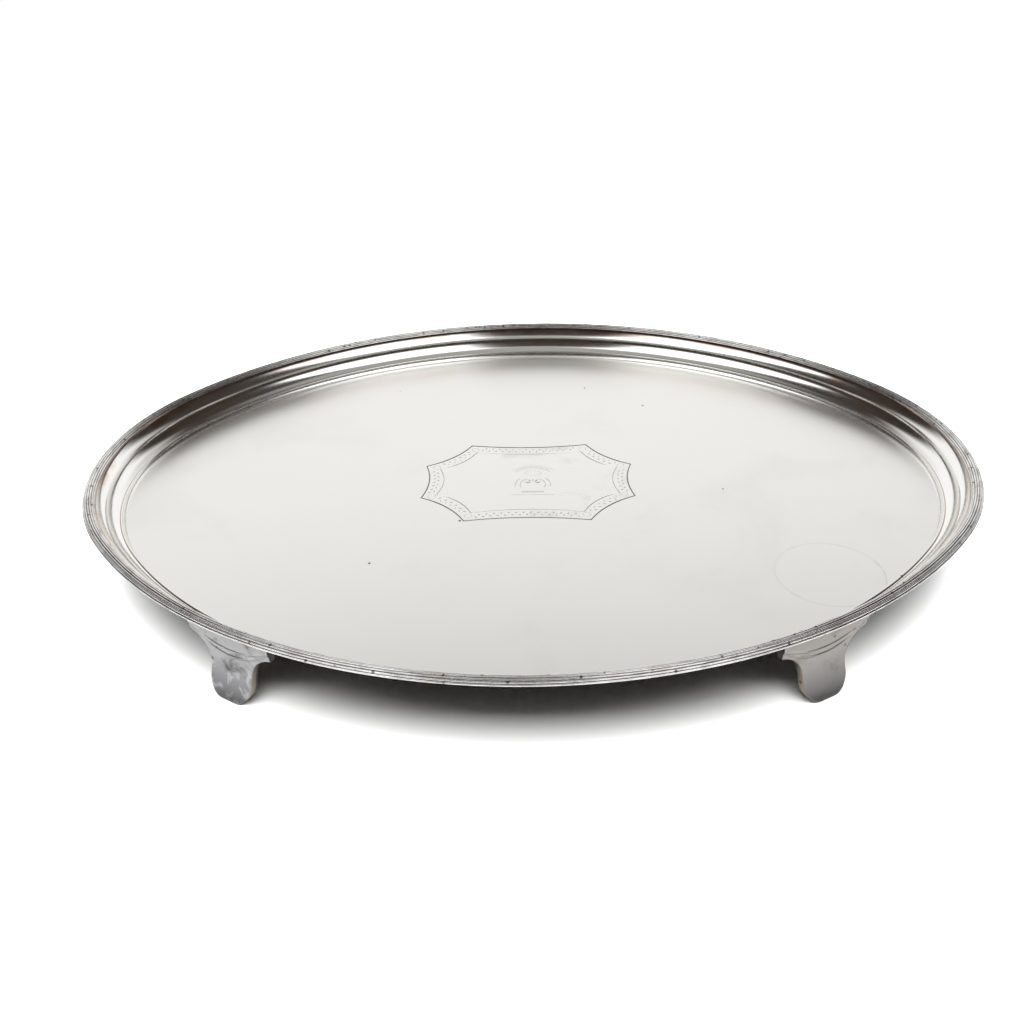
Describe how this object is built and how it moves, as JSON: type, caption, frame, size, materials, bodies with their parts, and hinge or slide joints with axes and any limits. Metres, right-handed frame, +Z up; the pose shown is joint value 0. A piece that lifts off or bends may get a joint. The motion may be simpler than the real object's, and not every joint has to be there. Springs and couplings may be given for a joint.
{
  "type": "oval footed salver",
  "caption": "Oval silver-plated salver: flat field with an engraved plate, stepped coved rim, reeded border and bracket feet.",
  "frame": {"origin": "middle of the salver on the plane that its four feet stand on", "axes": "+X along the length of the oval, +Y across its width, +Z up"},
  "size_m": [0.4498, 0.3536, 0.04],
  "materials": {
    "fused_plate": "polished silver face on copper, fine scratches, copper showing where worn",
    "drawn_silver": "polished drawn silver wire",
    "let_in_silver": "polished and engraved silver",
    "struck_border": "struck and polished silver, tarnish in the grooves",
    "lead_tin": "dull cast lead-tin; hidden",
    "struck_foot": "struck silver, worn and mottled with tarnish",
    "foot_backing": "plain silver plate, warm tarnish"
  },
  "bodies": {
    "root": {"tray_body": "fused_plate", "edge_wire": "drawn_silver", "crest_plate": "let_in_silver", "border_mount_ne": "struck_border", "border_mount_nw": "struck_border", "border_mount_sw": "struck_border", "border_mount_se": "struck_border", "border_filling_ne": "lead_tin", "border_filling_nw": "lead_tin", "border_filling_sw": "lead_tin", "border_filling_se": "lead_tin", "foot_shell_ne": "struck_foot", "foot_shell_nw": "struck_foot", "foot_shell_sw": "struck_foot", "foot_shell_se": "struck_foot", "foot_filling_ne": "lead_tin", "foot_filling_nw": "lead_tin", "foot_filling_sw": "lead_tin", "foot_filling_se": "lead_tin", "foot_back_ne": "foot_backing", "foot_back_nw": "foot_backing", "foot_back_sw": "foot_backing", "foot_back_se": "foot_backing"}
  },
  "joints": []
}
